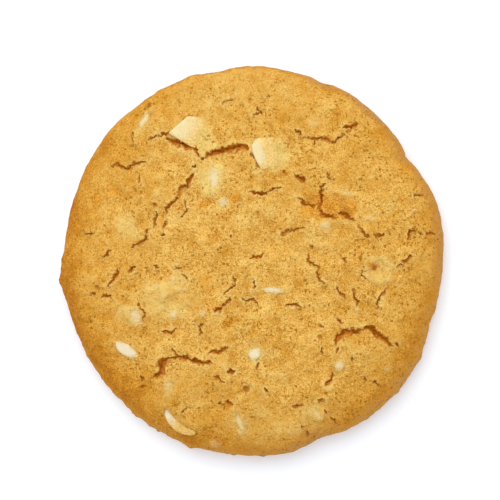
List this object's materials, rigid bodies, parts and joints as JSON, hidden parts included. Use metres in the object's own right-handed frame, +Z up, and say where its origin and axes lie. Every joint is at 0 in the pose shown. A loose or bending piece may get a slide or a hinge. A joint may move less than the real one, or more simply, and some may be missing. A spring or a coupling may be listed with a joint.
{
  "type": "white chocolate macadamia cookie",
  "caption": "Round flat baked cookie with a crackled golden crust, white chocolate chunks and macadamia nut pieces showing in its top.",
  "frame": {"origin": "centre of the outline's box, on the plane of the flat underside", "axes": "+Z up out of the crackled top, as the cookie lies; +X towards the picture's right and +Y towards its top"},
  "size_m": [0.0804, 0.0812, 0.0128],
  "materials": {
    "dough": "baked crust: golden, dry, matt and grainy, browner in the cracks and round the lower edge",
    "white_chocolate": "white chocolate softened by baking: ivory to butter yellow, matt, filmed with dough at its edges",
    "macadamia": "roasted macadamia: pale cream, slightly waxy, toasted at its edges"
  },
  "bodies": {
    "root": {"dough": "dough", "white_chocolate_chunk_1": "white_chocolate", "white_chocolate_chunk_2": "white_chocolate", "white_chocolate_chunk_3": "white_chocolate", "white_chocolate_chunk_4": "white_chocolate", "macadamia_piece_1": "macadamia", "macadamia_piece_2": "macadamia", "macadamia_piece_3": "macadamia", "macadamia_piece_4": "macadamia", "macadamia_piece_5": "macadamia", "macadamia_piece_6": "macadamia", "macadamia_piece_7": "macadamia", "macadamia_piece_8": "macadamia", "macadamia_piece_9": "macadamia"}
  },
  "joints": []
}
